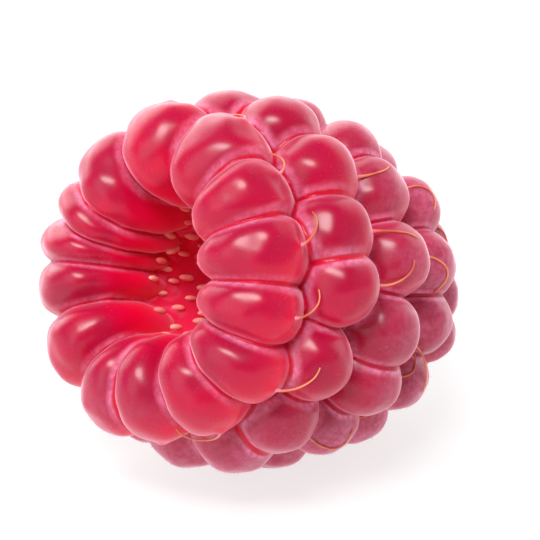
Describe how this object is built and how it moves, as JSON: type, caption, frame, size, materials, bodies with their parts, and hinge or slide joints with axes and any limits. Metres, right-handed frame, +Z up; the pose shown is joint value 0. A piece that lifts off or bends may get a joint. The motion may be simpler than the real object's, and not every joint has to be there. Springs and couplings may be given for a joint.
{
  "type": "raspberry",
  "caption": "Picked red raspberry lying on its side: a thimble of fused juicy drupelets round the open hollow that its core left, for fruit bowls, desserts and orchard scenes",
  "frame": {"origin": "On the surface that the berry lies on, under the middle of its outline seen from above", "axes": "+Z up; +X the way the tip points, with the mouth of the hollow towards -X and tilted up; +Y across the berry"},
  "size_m": [0.0236, 0.02, 0.0201],
  "materials": {
    "fruit_skin": "soft gloss on thin translucent skin, under a pale mauve bloom"
  },
  "bodies": {
    "root": {"raspberry": "fruit_skin"}
  },
  "joints": []
}
